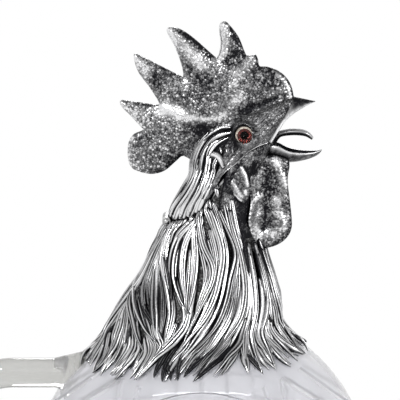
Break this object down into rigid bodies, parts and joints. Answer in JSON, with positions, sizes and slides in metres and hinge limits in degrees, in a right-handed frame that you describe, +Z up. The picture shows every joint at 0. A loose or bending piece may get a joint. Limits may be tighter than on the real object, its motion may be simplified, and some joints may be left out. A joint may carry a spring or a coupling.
{
  "type": "cockerel claret jug",
  "caption": "Claret jug shaped as a crowing cockerel: cut-glass ball body and glass loop handle, silver feathered neck, and a hinged silver head with comb, wattles and glass eyes.",
  "frame": {"origin": "centre of the flat foot that the jug stands on", "axes": "+X the way the bird looks, +Z up, the plane Y = 0 splits the bird"},
  "size_m": [0.1879, 0.144, 0.2567],
  "materials": {
    "glass": "polished",
    "silver": "oxidised cast silver",
    "pin_metal": "drawn silver wire",
    "plaster": "matt",
    "eye_glass": "polished",
    "iris": "gloss",
    "pupil": "gloss"
  },
  "bodies": {
    "jug": {"glass_body": "glass", "glass_handle": "glass", "cement_ring": "plaster", "neck_sleeve": "silver", "throat_floor": "silver", "neck_casting": "silver", "hackle_feathers": "silver", "rim_bezel": "silver", "lower_bill": "silver", "tongue": "silver", "wattle_right": "silver", "wattle_left": "silver", "ear_lobe_right": "silver", "ear_lobe_left": "silver", "neck_knuckles": "silver", "hinge_pin": "pin_metal"},
    "lid": {"lid_knuckle": "silver", "head_casting": "silver", "nape_feathers": "silver", "comb": "silver", "upper_bill": "silver", "eye_setting_right": "silver", "eye_setting_left": "silver", "iris_right": "iris", "iris_left": "iris", "pupil_right": "pupil", "pupil_left": "pupil", "eye_glass_right": "eye_glass", "eye_glass_left": "eye_glass"}
  },
  "joints": [
    {"name": "lid_hinge", "type": "hinge", "parent": "jug", "child": "lid", "pos_m": [-0.0147, 0, 0.17307], "axis": [0, -1, 0], "range_deg": [0, 95]}
  ]
}
